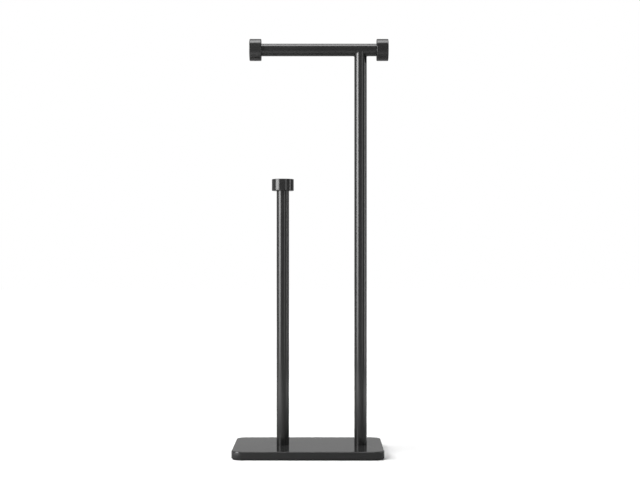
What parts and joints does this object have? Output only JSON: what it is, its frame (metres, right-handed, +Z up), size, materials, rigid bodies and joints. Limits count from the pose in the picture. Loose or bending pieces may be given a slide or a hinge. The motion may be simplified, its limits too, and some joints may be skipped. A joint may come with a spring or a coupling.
{
  "type": "toilet paper stand",
  "caption": "Freestanding toilet paper stand with a capped roll bar on a tall post, a shorter capped post for spare rolls and a weighted rectangular base.",
  "frame": {"origin": "centre of the base's underside, on the floor", "axes": "+Z up, +X along the roll bar towards the tall post, and the front of the stand faces -Y"},
  "size_m": [0.1975, 0.135, 0.5297],
  "materials": {
    "powder_coat": "smooth semi-gloss black powder coat on steel",
    "ballast_iron": "bare cast iron plate",
    "turned_steel": "turned steel",
    "zinc_steel": "bright zinc plate on steel",
    "foam_pad": "matt closed-cell foam sheet"
  },
  "bodies": {
    "root": {"base_cover": "powder_coat", "ballast_plate": "ballast_iron", "base_pad": "foam_pad", "tall_post": "powder_coat", "tall_post_base_plug": "turned_steel", "tall_post_screw": "zinc_steel", "tall_post_spring_washer": "zinc_steel", "tall_post_washer": "zinc_steel", "reserve_post": "powder_coat", "reserve_post_base_plug": "turned_steel", "reserve_post_screw": "zinc_steel", "reserve_post_spring_washer": "zinc_steel", "reserve_post_washer": "zinc_steel", "reserve_post_top_plug": "turned_steel", "reserve_cap_stud": "zinc_steel", "reserve_cap": "powder_coat", "crossbar": "powder_coat", "crossbar_left_plug": "turned_steel", "crossbar_right_plug": "turned_steel", "crossbar_left_stud": "zinc_steel", "crossbar_right_stud": "zinc_steel", "crossbar_left_cap": "powder_coat", "crossbar_right_cap": "powder_coat"}
  },
  "joints": []
}
